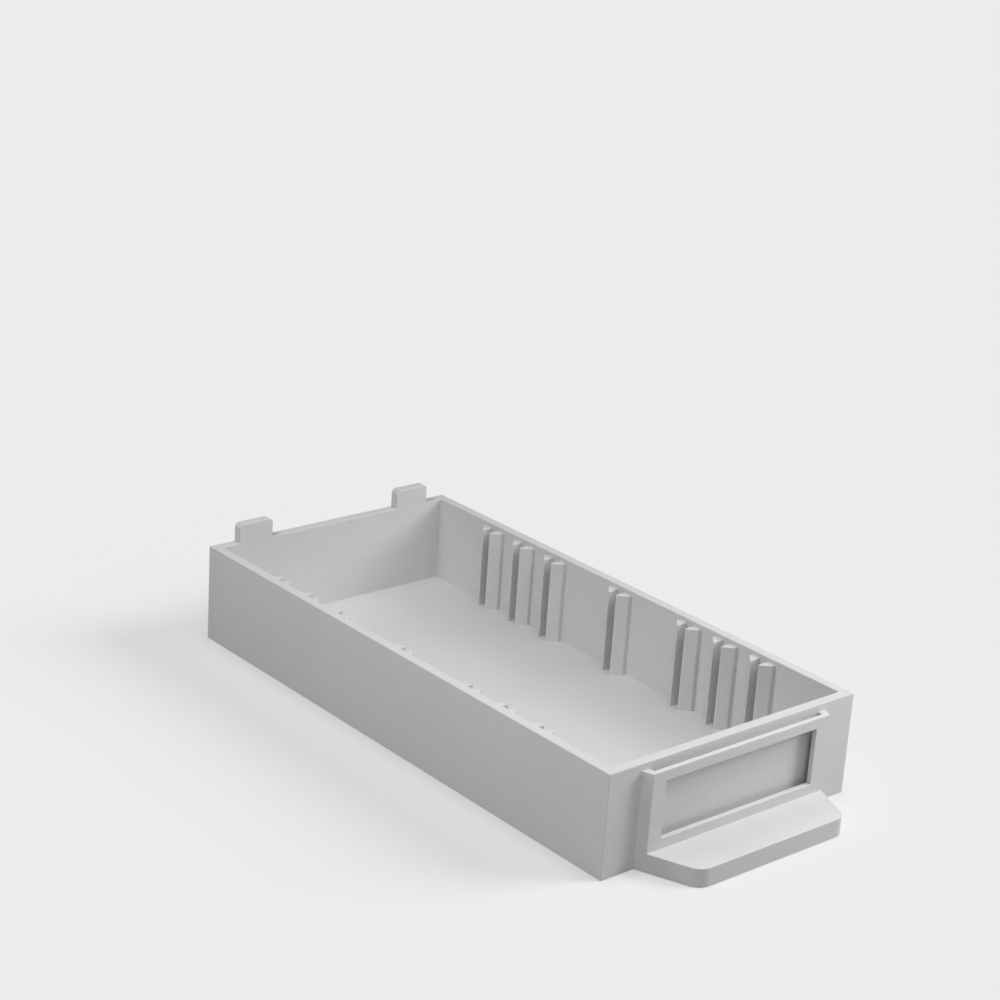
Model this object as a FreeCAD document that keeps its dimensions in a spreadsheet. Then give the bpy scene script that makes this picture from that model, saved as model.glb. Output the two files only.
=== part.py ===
import FreeCAD, Part
import os
import Sketcher
from FreeCAD import Placement, Rotation, Vector

# Open drawer of a small parts cabinet: a shallow tray with ribs that hold dividers,
# two stops on the rear rim, and a label frame standing on a finger pull at the front.
# The origin is the middle of the tray's underside, the front faces -Y and up is +Z.

doc = FreeCAD.newDocument("PartsDrawer")

# Driving dimensions, in millimetres and degrees
sizes = {
    "trayWidth": 60.0,
    "trayLength": 120.0,
    "trayHeight": 20.0,
    "wallThickness": 2.0,
    "floorThickness": 2.0,
    "ribDepth": 2.5,
    "ribWidth": 2.0,
    "ribTip": 0.3,
    "ribRoot": 0.8,
    "ribBelowRim": 0.8,
    "dividerGap": 2.0,
    "slotDivisions": 12.0,
    "stopWidth": 8.0,
    "stopHeight": 4.0,
    "stopInset": 6.0,
    "stopRadius": 1.0,
    "pullInset": 7.5,
    "pullTaper": 22.5,
    "pullDepth": 11.5,
    "pullThickness": 3.6,
    "pullRadius": 3.0,
    "frameBelowRim": 1.4,
    "frameReturn": 1.8,
    "framePlate": 1.0,
    "frameRail": 2.0,
    "cardGap": 1.0,
    "cardLap": 2.2,
}

sheet = doc.addObject("Spreadsheet::Sheet", "Sizes")
for row, (word, size) in enumerate(sizes.items(), start=1):
    sheet.set("A%d" % row, word)
    sheet.set("B%d" % row, str(size))
    sheet.setAlias("B%d" % row, word)
doc.recompute()

# Lengths that several pieces share, as sums of the driving dimensions
half_width = "Sizes.trayWidth / 2"
half_length = "Sizes.trayLength / 2"
inner_side = "(Sizes.trayWidth / 2 - Sizes.wallThickness)"
wall_rise = "(Sizes.trayHeight - Sizes.floorThickness)"
front_width = "(Sizes.trayWidth - 2 * Sizes.pullInset)"
run_in = "2 * tan(Sizes.pullTaper)"
frame_depth = "(Sizes.cardGap + Sizes.framePlate)"
frame_height = "(Sizes.trayHeight - Sizes.pullThickness - Sizes.frameBelowRim)"
card_width = "(%s - 2 * Sizes.frameReturn)" % front_width

# The dividers can split the tray's inside into halves, thirds, quarters or sixths, so
# their slots lie on steps of a twelfth of its length, counted from the middle
slot_pitch = "(Sizes.trayLength - Sizes.wallThickness) / Sizes.slotDivisions"
slot_steps = (-4, -3, -2, 0, 2, 3, 4)

nodes = []


def value(formula):
    """The present value of a formula on the sheet's sizes."""
    return float(sheet.evalExpression(formula))


def place(item, x, y, z, turn=0.0):
    """Turns a piece about Z and binds where its own origin stands."""
    item.Placement = Placement(Vector(0, 0, 0), Rotation(Vector(0, 0, 1), turn))
    item.setExpression("Placement.Base.x", x)
    item.setExpression("Placement.Base.y", y)
    item.setExpression("Placement.Base.z", z)


def add_panel(label, width, length, height, x, y, z):
    """A flat rectangular panel of the tray."""
    panel = doc.addObject("Part::Box", label)
    panel.Label = label
    panel.setExpression("Length", width)
    panel.setExpression("Width", length)
    panel.setExpression("Height", height)
    place(panel, x, y, z)
    nodes.append(panel)


def add_body(label):
    body = doc.addObject("PartDesign::Body", label)
    body.Label = label
    nodes.append(body)
    return body


def add_sketch(body, name, role):
    """A sketch lying on one of the body's own origin planes."""
    plane = [item for item in body.Origin.OriginFeatures if item.Role == role][0]
    sketch = body.newObject("Sketcher::SketchObject", name)
    sketch.AttachmentSupport = [(plane, "")]
    sketch.MapMode = "FlatFace"
    return sketch


def draw_outline(sketch, points):
    """Joins the points into a closed chain of lines; line n starts at point n."""
    count = len(points)
    for index in range(count):
        start = Vector(*points[index], 0)
        end = Vector(*points[(index + 1) % count], 0)
        sketch.addGeometry(Part.LineSegment(start, end), False)
    for index in range(count):
        sketch.addConstraint(Sketcher.Constraint("Coincident", index, 2, (index + 1) % count, 1))


def keep(sketch, kind, *reference):
    """A constraint with no size, such as Horizontal or Symmetric."""
    sketch.addConstraint(Sketcher.Constraint(kind, *reference))


def keep_lines(sketch, kind, *lines):
    for line in lines:
        keep(sketch, kind, line)


def bind(sketch, name, kind, reference, formula):
    """A named distance between two points of the sketch, bound to the sheet."""
    index = sketch.addConstraint(Sketcher.Constraint(kind, *reference, value(formula)))
    sketch.renameConstraint(index, name)
    sketch.setExpression("Constraints." + name, formula)


def add_pad(body, sketch, name, length):
    pad = body.newObject("PartDesign::Pad", name)
    pad.Profile = sketch
    pad.setExpression("Length", length)
    return pad


def round_edges(body, base, name, radius, chosen):
    """Rounds the edges of the base feature that the test picks."""
    doc.recompute()
    names = ["Edge%d" % number for number, edge in enumerate(base.Shape.Edges, start=1) if chosen(edge)]
    fillet = body.newObject("PartDesign::Fillet", name)
    fillet.Base = (base, names)
    fillet.setExpression("Radius", radius)


def runs_along(edge, axis):
    """Whether a straight edge lies along the axis."""
    first, last = (vertex.Point for vertex in edge.Vertexes)
    return (last - first).cross(axis).Length < 1e-6


# Tray: a full-size floor, two full-length side walls, and two end walls between them
add_panel("tray_floor", "Sizes.trayWidth", "Sizes.trayLength", "Sizes.floorThickness",
          "-" + half_width, "-" + half_length, "0")
for side_label, side_x in (("side_wall_left", "-" + half_width), ("side_wall_right", inner_side)):
    add_panel(side_label, "Sizes.wallThickness", "Sizes.trayLength", wall_rise,
              side_x, "-" + half_length, "Sizes.floorThickness")
for end_label, end_y in (("front_wall", "-" + half_length), ("rear_wall", half_length + " - Sizes.wallThickness")):
    add_panel(end_label, "2 * " + inner_side, "Sizes.wallThickness", wall_rise,
              "-" + inner_side, end_y, "Sizes.floorThickness")


def add_rib(label, on_right, in_front, step):
    """An upright rib: its square side faces the slot, and a slanted face cuts off the far corner.

    The sketch is drawn from the wall outwards along +X. Its square side is the line at
    Y = 0 or, on a rib of the other hand, the line across the top.
    """
    body = add_body(label)
    sketch = add_sketch(body, label + "_outline", "XY_Plane")
    depth = value("Sizes.ribDepth")
    width = value("Sizes.ribWidth")
    tip = value("Sizes.ribTip")
    root = value("Sizes.ribRoot")
    if on_right == in_front:
        draw_outline(sketch, [(0, 0), (depth, 0), (depth, tip), (root, width), (0, width)])
        keep_lines(sketch, "Horizontal", 0, 3)
        keep_lines(sketch, "Vertical", 1, 4)
        bind(sketch, "depth", "DistanceX", (0, 1, 0, 2), "Sizes.ribDepth")
        bind(sketch, "tip", "DistanceY", (1, 1, 1, 2), "Sizes.ribTip")
        bind(sketch, "root", "DistanceX", (3, 2, 3, 1), "Sizes.ribRoot")
    else:
        draw_outline(sketch, [(0, 0), (root, 0), (depth, width - tip), (depth, width), (0, width)])
        keep_lines(sketch, "Horizontal", 0, 3)
        keep_lines(sketch, "Vertical", 2, 4)
        bind(sketch, "depth", "DistanceX", (3, 2, 3, 1), "Sizes.ribDepth")
        bind(sketch, "tip", "DistanceY", (2, 1, 2, 2), "Sizes.ribTip")
        bind(sketch, "root", "DistanceX", (0, 1, 0, 2), "Sizes.ribRoot")
    bind(sketch, "width", "DistanceY", (4, 2, 4, 1), "Sizes.ribWidth")
    keep(sketch, "Coincident", 0, 1, -1, 1)
    add_pad(body, sketch, label + "_pad", wall_rise + " - Sizes.ribBelowRim")

    # A rib on the right is the same outline turned half round, so it grows towards -Y
    middle = "%d * %s" % (step, slot_pitch)
    if in_front:
        square_side = middle + " - Sizes.dividerGap / 2"
        far_side = square_side + " - Sizes.ribWidth"
    else:
        square_side = middle + " + Sizes.dividerGap / 2"
        far_side = square_side + " + Sizes.ribWidth"
    if on_right:
        place(body, inner_side, square_side if in_front else far_side, "Sizes.floorThickness", 180.0)
    else:
        place(body, "-" + inner_side, far_side if in_front else square_side, "Sizes.floorThickness")


# Divider ribs: a pair at every slot on both side walls, slot 1 nearest the front
for number, slot_step in enumerate(slot_steps, start=1):
    for side in ("left", "right"):
        for end in ("front", "rear"):
            rib_label = "divider_rib_%s_%d_%s" % (side, number, end)
            add_rib(rib_label, side == "right", end == "front", slot_step)


def add_stop(label, left_edge):
    """A tab with rounded top corners, as thick as the rear wall and standing on its rim."""
    body = add_body(label)
    sketch = add_sketch(body, label + "_outline", "XZ_Plane")
    width = value("Sizes.stopWidth")
    height = value("Sizes.stopHeight")
    draw_outline(sketch, [(0, 0), (width, 0), (width, height), (0, height)])
    keep_lines(sketch, "Horizontal", 0, 2)
    keep_lines(sketch, "Vertical", 1, 3)
    keep(sketch, "Coincident", 0, 1, -1, 1)
    bind(sketch, "width", "DistanceX", (0, 1, 0, 2), "Sizes.stopWidth")
    bind(sketch, "height", "DistanceY", (1, 1, 1, 2), "Sizes.stopHeight")
    pad = add_pad(body, sketch, label + "_pad", "Sizes.wallThickness")

    def is_top_corner(edge):
        return runs_along(edge, Vector(0, 1, 0)) and edge.BoundBox.ZMin > height / 2

    round_edges(body, pad, label + "_corners", "Sizes.stopRadius", is_top_corner)
    # The pad grows towards -Y, so it is placed by its rear face
    place(body, left_edge, half_length, "Sizes.trayHeight")


# Drawer stops: one near each end of the rear rim
add_stop("drawer_stop_left", "Sizes.stopInset - " + half_width)
add_stop("drawer_stop_right", half_width + " - Sizes.stopInset - Sizes.stopWidth")


def add_finger_pull():
    """A thick shelf at floor level, narrowing to the front, with rounded front corners."""
    body = add_body("finger_pull")
    sketch = add_sketch(body, "pull_outline", "XY_Plane")
    back = value(front_width) / 2
    depth = value("Sizes.pullDepth")
    front = back - depth * value(run_in) / 2
    draw_outline(sketch, [(-back, 0), (-front, -depth), (front, -depth), (back, 0)])
    keep(sketch, "PointOnObject", 0, 1, -1)
    keep(sketch, "Symmetric", 3, 1, 3, 2, -2)
    keep(sketch, "Symmetric", 1, 1, 1, 2, -2)
    bind(sketch, "backWidth", "DistanceX", (3, 2, 3, 1), front_width)
    bind(sketch, "frontWidth", "DistanceX", (1, 1, 1, 2), "%s - Sizes.pullDepth * %s" % (front_width, run_in))
    bind(sketch, "depth", "DistanceY", (1, 1, -1, 1), "Sizes.pullDepth")
    pad = add_pad(body, sketch, "pull_pad", "Sizes.pullThickness")

    def is_front_corner(edge):
        return runs_along(edge, Vector(0, 0, 1)) and edge.BoundBox.YMax < -depth / 2

    round_edges(body, pad, "pull_corners", "Sizes.pullRadius", is_front_corner)
    place(body, "0", "-" + half_length, "0")


def add_label_frame():
    """A plate with a window, held off the front wall by a return at each side.

    The returns and the plate leave a slot behind the window that is open at the top for
    a card. The outer sides lie in the same slanted planes as the sides of the pull.
    """
    body = add_body("label_frame")
    plan = add_sketch(body, "frame_plan", "XY_Plane")
    back = value(front_width) / 2
    deep = value(frame_depth)
    front = back - deep * value(run_in) / 2
    slot = value(card_width) / 2
    gap = value("Sizes.cardGap")
    draw_outline(plan, [(-back, 0), (-front, -deep), (front, -deep), (back, 0),
                        (slot, 0), (slot, -gap), (-slot, -gap), (-slot, 0)])
    keep_lines(plan, "Horizontal", 3, 7)
    keep_lines(plan, "Vertical", 4, 6)
    keep(plan, "PointOnObject", 0, 1, -1)
    keep(plan, "Symmetric", 0, 1, 2, 2, -2)
    keep(plan, "Symmetric", 1, 1, 1, 2, -2)
    keep(plan, "Symmetric", 5, 1, 5, 2, -2)
    bind(plan, "backWidth", "DistanceX", (0, 1, 2, 2), front_width)
    bind(plan, "frontWidth", "DistanceX", (1, 1, 1, 2), "%s - %s * %s" % (front_width, frame_depth, run_in))
    bind(plan, "depth", "DistanceY", (1, 1, -1, 1), frame_depth)
    bind(plan, "slotWidth", "DistanceX", (5, 2, 5, 1), card_width)
    bind(plan, "slotDepth", "DistanceY", (5, 1, -1, 1), "Sizes.cardGap")
    pad = add_pad(body, plan, "frame_pad", frame_height)

    opening = add_sketch(body, "frame_window", "XZ_Plane")
    half = value(card_width) / 2 - value("Sizes.cardLap")
    sill = value("Sizes.frameRail")
    head = value(frame_height) - sill
    draw_outline(opening, [(-half, sill), (half, sill), (half, head), (-half, head)])
    keep_lines(opening, "Horizontal", 2)
    keep_lines(opening, "Vertical", 1, 3)
    keep(opening, "Symmetric", 0, 1, 0, 2, -2)
    bind(opening, "width", "DistanceX", (0, 1, 0, 2), card_width + " - 2 * Sizes.cardLap")
    bind(opening, "height", "DistanceY", (1, 1, 1, 2), frame_height + " - 2 * Sizes.frameRail")
    bind(opening, "sill", "DistanceY", (-1, 1, 0, 1), "Sizes.frameRail")
    window = body.newObject("PartDesign::Pocket", "window_pocket")
    window.Profile = opening
    window.Type = "ThroughAll"
    window.Midplane = True
    place(body, "0", "-" + half_length, "Sizes.pullThickness")
    doc.recompute()

    # The window has to take its own volume out of the plate
    expected = 2 * half * (head - sill) * value("Sizes.framePlate")
    taken = pad.Shape.Volume - window.Shape.Volume
    if abs(taken - expected) > 1e-3 * expected:
        raise RuntimeError("the window took %.3f mm3, not %.3f" % (taken, expected))


# Front fittings: the pull at floor level carries the label frame
add_finger_pull()
add_label_frame()

# Every object has computed, and every piece is one valid closed solid
for item in doc.Objects:
    if "Invalid" in item.State or "Error" in item.State:
        raise RuntimeError("%s failed: %s" % (item.Name, item.State))
for node in nodes:
    shape = node.Shape
    if shape.isNull() or not shape.isValid() or len(shape.Solids) != 1:
        raise RuntimeError("%s is not one valid solid" % node.Label)

os.makedirs("parts", exist_ok=True)
for node in nodes:
    node.Shape.exportStep(os.path.join("parts", node.Label + ".step"))
print("%d pieces written" % len(nodes))
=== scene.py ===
import math

import bmesh
import bpy
from mathutils import Matrix, Vector


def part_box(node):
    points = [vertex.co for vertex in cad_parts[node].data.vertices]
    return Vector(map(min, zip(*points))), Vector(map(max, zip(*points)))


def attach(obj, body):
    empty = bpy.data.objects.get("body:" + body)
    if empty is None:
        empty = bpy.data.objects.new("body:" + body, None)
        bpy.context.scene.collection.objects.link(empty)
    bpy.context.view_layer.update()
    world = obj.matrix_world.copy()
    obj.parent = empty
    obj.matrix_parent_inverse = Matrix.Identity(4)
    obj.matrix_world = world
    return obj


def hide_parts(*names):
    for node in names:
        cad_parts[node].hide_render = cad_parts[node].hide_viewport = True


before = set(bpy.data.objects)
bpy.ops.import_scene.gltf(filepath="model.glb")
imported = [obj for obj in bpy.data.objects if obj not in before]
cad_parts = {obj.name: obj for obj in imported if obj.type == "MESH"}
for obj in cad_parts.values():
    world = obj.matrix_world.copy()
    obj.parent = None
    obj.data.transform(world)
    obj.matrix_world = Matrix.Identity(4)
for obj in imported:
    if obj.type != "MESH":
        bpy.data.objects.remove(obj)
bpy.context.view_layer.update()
mm = 0.001
print("frame loaded with", len(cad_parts), "CAD nodes")


# Selecting and measuring

shaping = {
    "samePlace": 0.01 * mm,  # two places this close count as one
    "facing": 0.9,  # how much of a face's normal has to lie along an axis for the face to look that way
    "outerAngle": 35,  # degrees, and an edge that turns outwards by more is softened
    "edgeSteps": 3,
    "mergeGap": 0.001 * mm,
    "flatAngle": 1,  # degrees, within which faces left by a cut are joined
}


def openForEdit(piece, kind):
    bpy.ops.object.select_all(action="DESELECT")
    bpy.context.view_layer.objects.active = piece
    piece.select_set(True)
    bpy.ops.object.mode_set(mode="EDIT")
    bpy.ops.mesh.select_mode(type=kind)
    bpy.ops.mesh.select_all(action="DESELECT")


def closeEdit():
    bpy.ops.object.mode_set(mode="OBJECT")


def pickFaces(piece, wanted):
    bpy.ops.mesh.select_all(action="DESELECT")
    mesh = bmesh.from_edit_mesh(piece.data)
    for face in mesh.faces:
        if wanted(face.calc_center_median(), face.normal):
            face.select_set(True)
    bmesh.update_edit_mesh(piece.data)


def pickEdges(piece, wanted):
    bpy.ops.mesh.select_all(action="DESELECT")
    mesh = bmesh.from_edit_mesh(piece.data)
    for edge in mesh.edges:
        if wanted(edge.verts[0].co, edge.verts[1].co):
            edge.select_set(True)
    bmesh.update_edit_mesh(piece.data)


def near(a, b):
    return abs(a - b) < shaping["samePlace"]


def bothAt(start, end, axis, place):
    return near(start[axis], place) and near(end[axis], place)


def unionBox(*nodes):
    corners = [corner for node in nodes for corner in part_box(node)]
    low = Vector(min(c[axis] for c in corners) for axis in range(3))
    high = Vector(max(c[axis] for c in corners) for axis in range(3))
    return low, high


# Shaping that every piece shares


def addBlock(name, low, high):
    # A cube primitive at its size and place, which edit mode then shapes
    bpy.ops.object.select_all(action="DESELECT")
    bpy.ops.mesh.primitive_cube_add(size=1, location=(low + high) / 2)
    block = bpy.context.object
    block.name = name
    block.data.name = name
    block.scale = high - low
    bpy.ops.object.transform_apply(location=True, rotation=True, scale=True)
    return block


def applyModifier(piece, kind, **settings):
    bpy.ops.object.select_all(action="DESELECT")
    bpy.context.view_layer.objects.active = piece
    piece.select_set(True)
    modifier = piece.modifiers.new(kind, kind)
    for setting, amount in settings.items():
        setattr(modifier, setting, amount)
    bpy.ops.object.modifier_apply(modifier=modifier.name)


def cutAway(piece, low, high):
    cutter = addBlock("cutter", low, high)
    applyModifier(piece, "BOOLEAN", operation="DIFFERENCE", object=cutter, solver="EXACT")
    bpy.data.objects.remove(cutter)
    openForEdit(piece, "VERT")
    bpy.ops.mesh.select_all(action="SELECT")
    bpy.ops.mesh.remove_doubles(threshold=shaping["mergeGap"])
    bpy.ops.mesh.dissolve_limited(angle_limit=math.radians(shaping["flatAngle"]))
    closeEdit()


def softenEdges(piece, width, joined=None):
    # The nozzle rounds every outer edge a little, but not where one feature grows out of another
    mesh = bmesh.new()
    mesh.from_mesh(piece.data)
    weight = mesh.edges.layers.float.new("bevel_weight_edge")
    outerAngle = math.radians(shaping["outerAngle"])
    for edge in mesh.edges:
        outward = edge.is_manifold and edge.calc_face_angle_signed() > outerAngle
        start, end = edge.verts[0].co, edge.verts[1].co
        edge[weight] = 1.0 if outward and not (joined and joined(start, end)) else 0.0
    mesh.to_mesh(piece.data)
    mesh.free()
    applyModifier(piece, "BEVEL", limit_method="WEIGHT", width=width, segments=shaping["edgeSteps"])


def finishPiece(piece, *nodes):
    piece.data.materials.clear()
    piece.data.materials.append(printedPla)
    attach(piece, "root")
    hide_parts(*nodes)


# Material


def toLinear(hexColour):
    channels = [int(hexColour[i : i + 2], 16) / 255 for i in (1, 3, 5)]
    linear = [c / 12.92 if c <= 0.04045 else ((c + 0.055) / 1.055) ** 2.4 for c in channels]
    return (*linear, 1.0)


def addNode(tree, kind, settings=None, **inputs):
    # Adds a node, links the inputs given as sockets and sets the others. An input goes by its name,
    # or by i and its number where several share a name: a colour Mix has its two colours at i6 and i7.
    node = tree.nodes.new(kind)
    for setting, amount in (settings or {}).items():
        setattr(node, setting, amount)
    for slotName, source in inputs.items():
        key = int(slotName[1:]) if slotName[1:].isdigit() else slotName.replace("_", " ")
        if isinstance(source, bpy.types.NodeSocket):
            tree.links.new(source, node.inputs[key])
        else:
            node.inputs[key].default_value = source
    return node


plaFinish = {
    "paleTone": "#CECECE",
    "darkTone": "#C8C8C8",
    "driftSize": 18 * mm,  # how slowly the tone and the level of the lines drift over a face
    "layerHeight": 0.375 * mm,
    "layerDepth": 0.032 * mm,
    "layerWander": 0.03 * mm,  # how far a layer line strays from level
    "layerTone": 0.1,  # how far a layer's tone may go from its place between dark and pale
    "patchSize": 7 * mm,  # a line is clear for about this long and then faint
    "patchFaintest": 0.45,
    "grainSize": 0.3 * mm,
    "grainDepth": 0.0012 * mm,
    "sheenSize": 5 * mm,
    "roughness": (0.55, 0.68),
    "ior": 1.46,
}


def makePrintedPla():
    # PLA plastic, fused filament printed: a matte grey built up in layers, so upright faces are finely lined
    # and lying ones are smooth, with a tone that differs a little from layer to layer
    material = bpy.data.materials.new("printedPla")
    material.use_nodes = True
    tree = material.node_tree
    tree.nodes.clear()
    place = addNode(tree, "ShaderNodeTexCoord").outputs["Object"]

    def noise(size, detail=2.0):
        return addNode(tree, "ShaderNodeTexNoise", Vector=place, Scale=1 / size, Detail=detail).outputs["Fac"]

    def compute(operation, **inputs):
        return addNode(tree, "ShaderNodeMath", {"operation": operation}, **inputs).outputs[0]

    def between(factor, low, high):
        return addNode(tree, "ShaderNodeMapRange", Value=factor, To_Min=low, To_Max=high).outputs[0]

    height = addNode(tree, "ShaderNodeSeparateXYZ", Vector=place).outputs["Z"]
    wander = plaFinish["layerWander"]
    height = compute("ADD", i0=height, i1=between(noise(plaFinish["driftSize"]), -wander, wander))
    layer = compute("DIVIDE", i0=height, i1=plaFinish["layerHeight"])
    bead = compute("ABSOLUTE", i0=compute("SINE", i0=compute("MULTIPLY", i0=layer, i1=math.pi)))
    clearness = between(noise(plaFinish["patchSize"]), plaFinish["patchFaintest"], 1.0)
    bead = compute("MULTIPLY", i0=bead, i1=clearness)
    lines = addNode(tree, "ShaderNodeBump", Height=bead, Distance=plaFinish["layerDepth"], Strength=1.0)
    grain = addNode(
        tree,
        "ShaderNodeBump",
        Height=noise(plaFinish["grainSize"]),
        Distance=plaFinish["grainDepth"],
        Strength=1.0,
        Normal=lines.outputs["Normal"],
    )
    oneLayer = compute("FLOOR", i0=layer)
    chance = addNode(tree, "ShaderNodeTexWhiteNoise", {"noise_dimensions": "1D"}, W=oneLayer)
    layerTone = between(chance.outputs["Value"], -plaFinish["layerTone"], plaFinish["layerTone"])
    tone = compute("ADD", i0=noise(plaFinish["driftSize"]), i1=layerTone)
    colour = addNode(
        tree,
        "ShaderNodeMix",
        {"data_type": "RGBA"},
        i0=tone,
        i6=toLinear(plaFinish["darkTone"]),
        i7=toLinear(plaFinish["paleTone"]),
    )
    shader = addNode(
        tree,
        "ShaderNodeBsdfPrincipled",
        Base_Color=colour.outputs[2],
        Roughness=between(noise(plaFinish["sheenSize"]), *plaFinish["roughness"]),
        IOR=plaFinish["ior"],
        Normal=grain.outputs["Normal"],
    )
    addNode(tree, "ShaderNodeOutputMaterial", Surface=shader.outputs["BSDF"])
    return material


printedPla = makePrintedPla()
print("material made:", printedPla.name)


# Tray

tray = {
    "nodes": ("tray_floor", "side_wall_left", "side_wall_right", "front_wall", "rear_wall"),
    "softEdge": 0.12 * mm,
}


def makeTray():
    low, high = unionBox(*tray["nodes"])
    wall = high.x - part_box("side_wall_right")[0].x
    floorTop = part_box("tray_floor")[1].z
    rearInside = high.y - wall - shaping["samePlace"]
    stopSides = [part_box("drawer_stop_" + side)[end].x for side in ("left", "right") for end in (0, 1)]
    pullSides = [corner.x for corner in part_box("finger_pull")]
    piece = addBlock("drawer_tray", low, high)
    openForEdit(piece, "FACE")
    pickFaces(piece, lambda middle, normal: normal.z > shaping["facing"])
    bpy.ops.mesh.inset(thickness=wall)
    bpy.ops.mesh.extrude_region_move(TRANSFORM_OT_translate={"value": (0, 0, floorTop - high.z)})
    # The rim and the foot are cut at each side of a stop and of the pull, where their soft edge ends
    for side in stopSides:
        pickFaces(piece, lambda middle, normal: middle.y > rearInside and middle.z > floorTop)
        bpy.ops.mesh.bisect(plane_co=(side, 0, 0), plane_no=(1, 0, 0))
    for side in pullSides:
        pickFaces(piece, lambda middle, normal: near(middle.z, low.z) or near(middle.y, low.y))
        bpy.ops.mesh.bisect(plane_co=(side, 0, 0), plane_no=(1, 0, 0))
    closeEdit()

    def joined(start, end):
        middle = (start + end) / 2
        onRearRim = near(middle.z, high.z) and middle.y > rearInside
        underStop = onRearRim and any(a < middle.x < b for a, b in zip(stopSides[::2], stopSides[1::2]))
        behindPull = near(middle.z, low.z) and near(middle.y, low.y) and abs(middle.x) < pullSides[1]
        return underStop or behindPull

    softenEdges(piece, tray["softEdge"], joined)
    finishPiece(piece, *tray["nodes"])


makeTray()
print("tray made")


# Divider ribs

rib = {
    "tip": 0.3 * mm,  # flat left on the far corner's cut
    "rootDepth": 0.5 * mm,  # how far a rib runs on into the wall and the floor
    "softEdge": 0.1 * mm,
    "slots": 7,
}


def modelRib(hand):
    # The left wall's rib at the first slot: square towards the slot, cut at 45 degrees behind
    low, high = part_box("divider_rib_left_1_" + hand)
    farSide = high.y if hand == "rear" else low.y
    cut = high.y - low.y - rib["tip"]
    root = Vector((rib["rootDepth"], 0, rib["rootDepth"]))
    piece = addBlock("ribMaster", low - root, high)
    openForEdit(piece, "EDGE")
    pickEdges(piece, lambda a, b: bothAt(a, b, 0, high.x) and bothAt(a, b, 1, farSide))
    bpy.ops.mesh.bevel(offset=cut, segments=1, affect="EDGES")
    closeEdit()
    softenEdges(piece, rib["softEdge"])
    return piece, (low + high) / 2


def makeRibs():
    # A right rib is the left one of the other hand, turned half round
    for hand, opposite in (("front", "rear"), ("rear", "front")):
        master, masterMiddle = modelRib(hand)
        for number in range(1, rib["slots"] + 1):
            for side, sideHand, turn in (("left", hand, 0.0), ("right", opposite, math.pi)):
                node = "divider_rib_%s_%d_%s" % (side, number, sideHand)
                low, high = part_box(node)
                piece = master.copy()
                piece.data = master.data.copy()
                piece.name = node + "_print"
                piece.data.name = piece.name
                bpy.context.scene.collection.objects.link(piece)
                toMiddle = Matrix.Translation((low + high) / 2)
                turned = Matrix.Rotation(turn, 4, "Z")
                piece.data.transform(toMiddle @ turned @ Matrix.Translation(-masterMiddle))
                finishPiece(piece, node)
        bpy.data.objects.remove(master)


makeRibs()
print("divider ribs made")


# Drawer stops

stop = {
    "cornerRadius": 1.0 * mm,
    "cornerSteps": 16,
    "softEdge": 0.12 * mm,
}


def makeStops():
    for side in ("left", "right"):
        node = "drawer_stop_" + side
        low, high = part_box(node)
        piece = addBlock(node + "_print", low, high)
        openForEdit(piece, "EDGE")
        pickEdges(piece, lambda a, b: bothAt(a, b, 2, high.z) and near(a.x, b.x))
        bpy.ops.mesh.bevel(offset=stop["cornerRadius"], segments=stop["cornerSteps"], affect="EDGES")
        closeEdit()
        softenEdges(piece, stop["softEdge"], lambda a, b: bothAt(a, b, 2, low.z))
        finishPiece(piece, node)


makeStops()
print("drawer stops made")


# Finger pull

pull = {
    "taper": 22.5,  # degrees that each side leans in
    "cornerRadius": 3.0 * mm,
    "cornerSteps": 24,
    "softEdge": 0.12 * mm,
}


def leanSidesIn(piece, low, high):
    # The sides of the pull and of the label frame lean in towards the front by the same angle
    openForEdit(piece, "FACE")
    pickFaces(piece, lambda middle, normal: normal.y < -shaping["facing"])
    leanIn = (high.y - low.y) * math.tan(math.radians(pull["taper"]))
    bpy.ops.transform.resize(value=(1 - leanIn / high.x, 1, 1), center_override=(0, low.y, 0))


def makePull():
    low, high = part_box("finger_pull")
    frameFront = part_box("label_frame")[0].y
    piece = addBlock("finger_pull_print", low, high)
    leanSidesIn(piece, low, high)
    bpy.ops.mesh.select_all(action="SELECT")
    bpy.ops.mesh.bisect(plane_co=(0, frameFront, 0), plane_no=(0, 1, 0))
    bpy.ops.mesh.select_mode(type="EDGE")
    pickEdges(piece, lambda a, b: bothAt(a, b, 1, low.y) and near(a.x, b.x))
    # A round corner starts this far from the sharp one
    tangent = pull["cornerRadius"] / math.tan(math.radians(90 + pull["taper"]) / 2)
    bpy.ops.mesh.bevel(offset=tangent, segments=pull["cornerSteps"], affect="EDGES")
    closeEdit()

    def joined(start, end):
        onWall = bothAt(start, end, 1, high.y)
        underFrame = bothAt(start, end, 2, high.z) and min(start.y, end.y) > frameFront - shaping["samePlace"]
        return onWall or underFrame

    softenEdges(piece, pull["softEdge"], joined)
    finishPiece(piece, "finger_pull")


makePull()
print("finger pull made")


# Label frame

labelFrame = {
    "plate": 1.0 * mm,
    "rail": 2.0 * mm,
    "cardLap": 2.2 * mm,
    "sideWidth": 1.8 * mm,  # each side where it meets the wall
    "cutReach": 5 * mm,  # how far a cutter runs out of the piece
    "softEdge": 0.1 * mm,
}


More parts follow.
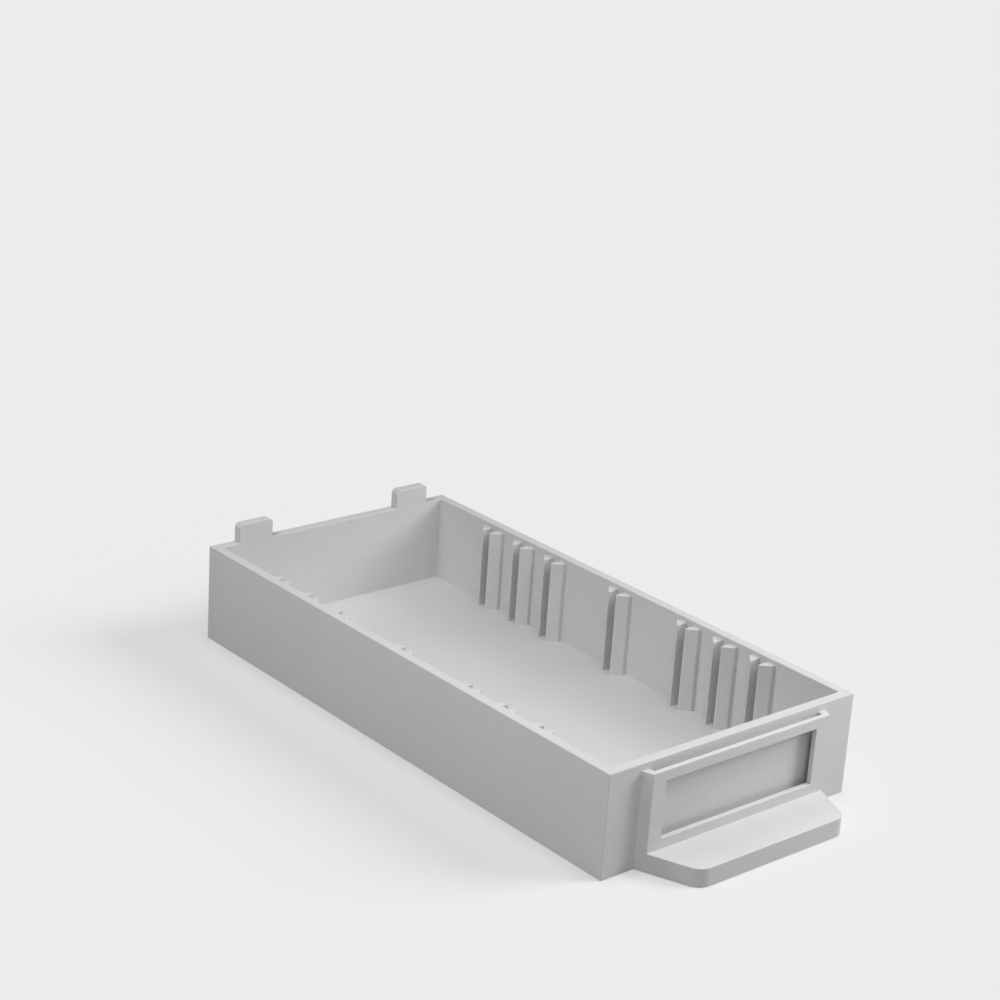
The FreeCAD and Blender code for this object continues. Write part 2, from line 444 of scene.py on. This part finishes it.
def makeLabelFrame():
    low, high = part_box("label_frame")
    piece = addBlock("label_frame_print", low, high)
    leanSidesIn(piece, low, high)
    closeEdit()
    beyond = labelFrame["cutReach"]
    slotEnd = high.x - labelFrame["sideWidth"]
    slotFront = low.y + labelFrame["plate"]
    windowEnd = slotEnd - labelFrame["cardLap"]
    cutAway(
        piece,
        Vector((-slotEnd, slotFront, low.z - beyond)),
        Vector((slotEnd, high.y + beyond, high.z + beyond)),
    )
    cutAway(
        piece,
        Vector((-windowEnd, low.y - beyond, low.z + labelFrame["rail"])),
        Vector((windowEnd, high.y + beyond, high.z - labelFrame["rail"])),
    )

    def joined(start, end):
        return bothAt(start, end, 1, high.y) or bothAt(start, end, 2, low.z)

    softenEdges(piece, labelFrame["softEdge"], joined)
    finishPiece(piece, "label_frame")


makeLabelFrame()
print("label frame made")


# Camera, solved from the drawer's own corners in the photograph

viewpoint = {
    "place": (-276.16 * mm, -309.32 * mm, 194.49 * mm),
    "heading": 41.166,  # degrees right of +Y
    "pitch": 20.032,  # degrees down
    "roll": 3.840,
    "lens": 84.53,
    "sensor": 36.0,
    "nearest": 10 * mm,
}


def addCamera():
    bpy.ops.object.camera_add()
    camera = bpy.context.object
    camera.name = "camera"
    camera.data.lens = viewpoint["lens"]
    camera.data.sensor_width = viewpoint["sensor"]
    camera.data.clip_start = viewpoint["nearest"]
    camera.matrix_world = (
        Matrix.Translation(viewpoint["place"])
        @ Matrix.Rotation(math.radians(-viewpoint["heading"]), 4, "Z")
        @ Matrix.Rotation(math.radians(90 - viewpoint["pitch"]), 4, "X")
        @ Matrix.Rotation(math.radians(viewpoint["roll"]), 4, "Z")
    )
    bpy.context.scene.camera = camera


addCamera()


# Studio

studio = {
    "backdrop": "#ECECEC",
    "floorSize": 6.0,  # metres
    "floorBounce": "#BBBBBB",  # darker than it is seen, so that the sides of the drawer stay grey
    "aimHeight": 10 * mm,
    "evenShare": 0.4,  # of the floor's light, and the rest keeps the drawer's shadow
}

# The suns that light the floor, with angles in degrees and each one's share of the floor's light
floorLamps = {
    "floorKey": dict(azimuth=-32, elevation=33, spread=30, share=0.32),
    "floorTop": dict(azimuth=0, elevation=90, spread=25, share=0.40),
    "floorDome": dict(azimuth=0, elevation=90, spread=179, share=0.28),
}

# The lamps that light the drawer, with angles in degrees and lengths in metres. They stand close and aim
# at the front half of the drawer, so that the front is brighter than the back.
lamps = {
    "keyLamp": dict(azimuth=-32, elevation=26.5, distance=0.20, width=0.08, watts=0.206, aimY=-0.06),
    "rightLamp": dict(azimuth=-16, elevation=45, distance=0.30, width=0.12, watts=0.195, aimY=-0.06),
    "highLamp": dict(azimuth=-34, elevation=60, distance=0.25, width=0.12, watts=0.103, aimY=-0.06),
    "frontLamp": dict(azimuth=-110, elevation=60, distance=0.55, width=0.50, watts=1.178, aimY=-0.03),
    "leftLamp": dict(azimuth=180, elevation=45, distance=0.30, width=0.12, watts=0.169, aimY=-0.09),
    "rearLamp": dict(azimuth=140, elevation=45, distance=0.30, width=0.12, watts=0.286, aimY=-0.09),
}


def seenDirectly(tree):
    rays = addNode(tree, "ShaderNodeLightPath").outputs
    seen = rays["Is Camera Ray"]
    for kind in ("Is Glossy Ray", "Is Transmission Ray"):
        seen = addNode(tree, "ShaderNodeMath", {"operation": "MAXIMUM"}, i0=seen, i1=rays[kind]).outputs[0]
    return seen


def makeFloorMaterial():
    # Matt painted board: one even pale tone that only a shadow changes
    material = bpy.data.materials.new("mattPaintedBoard")
    material.use_nodes = True
    material.cycles.emission_sampling = "NONE"
    tree = material.node_tree
    tree.nodes.clear()
    paint = addNode(
        tree,
        "ShaderNodeMix",
        {"data_type": "RGBA"},
        i0=seenDirectly(tree),
        i6=toLinear(studio["floorBounce"]),
        i7=toLinear(studio["backdrop"]),
    ).outputs[2]
    shaded = addNode(tree, "ShaderNodeBsdfDiffuse", Color=paint)
    even = addNode(tree, "ShaderNodeEmission", Color=paint, Strength=1.0)
    mixed = addNode(
        tree, "ShaderNodeMixShader", i0=studio["evenShare"], i1=shaded.outputs[0], i2=even.outputs[0]
    )
    addNode(tree, "ShaderNodeOutputMaterial", Surface=mixed.outputs[0])
    return material


def addFloor():
    bpy.ops.object.select_all(action="DESELECT")
    bpy.ops.mesh.primitive_plane_add(size=studio["floorSize"])
    floor = bpy.context.object
    floor.name = "floor"
    floor.data.materials.append(makeFloorMaterial())
    return floor


def addWorld():
    # The world is the plain backdrop that the eye and a gloss see, and it lights nothing else
    world = bpy.data.worlds.new("studio")
    bpy.context.scene.world = world
    world.use_nodes = True
    tree = world.node_tree
    tree.nodes.clear()
    pale = toLinear(studio["backdrop"])
    backdrop = addNode(tree, "ShaderNodeBackground", Color=pale, Strength=seenDirectly(tree))
    addNode(tree, "ShaderNodeOutputWorld", Surface=backdrop.outputs[0])


def addLamp(name, kind, plan):
    # Azimuth runs from +X towards +Y, and the light comes from there. A sun needs no distance and no aim.
    bpy.ops.object.light_add(type=kind)
    lamp = bpy.context.object
    lamp.name = name
    azimuth = math.radians(plan["azimuth"])
    elevation = math.radians(plan["elevation"])
    across = math.cos(elevation)
    direction = Vector((across * math.cos(azimuth), across * math.sin(azimuth), math.sin(elevation)))
    aim = Vector((0, plan.get("aimY", 0), studio["aimHeight"]))
    lamp.location = aim + plan.get("distance", 1) * direction
    lamp.rotation_euler = direction.to_track_quat("Z", "Y").to_euler()
    return lamp


def lightFloor(lamp, floor, state):
    # INCLUDE lights the floor alone, and EXCLUDE lights all but the floor
    receivers = bpy.data.collections.new(lamp.name + "Receivers")
    receivers.objects.link(floor)
    receivers.collection_objects[0].light_linking.link_state = state
    lamp.light_linking.receiver_collection = receivers


def addDrawerLamps(floor):
    for name, plan in lamps.items():
        lamp = addLamp(name, "AREA", plan)
        lamp.data.shape = "DISK"
        lamp.data.size = plan["width"]
        lamp.data.energy = plan["watts"]
        lightFloor(lamp, floor, "EXCLUDE")


def addFloorLamps(floor):
    # The shares add up to 1, at which unshadowed board shows its colour as it is written
    for name, plan in floorLamps.items():
        lamp = addLamp(name, "SUN", plan)
        lamp.data.angle = math.radians(plan["spread"])
        lamp.data.energy = math.pi * plan["share"] / math.sin(math.radians(plan["elevation"]))
        lightFloor(lamp, floor, "INCLUDE")


floor = addFloor()
addWorld()
addDrawerLamps(floor)
addFloorLamps(floor)
bpy.context.scene.view_settings.view_transform = "Standard"
print("studio made")
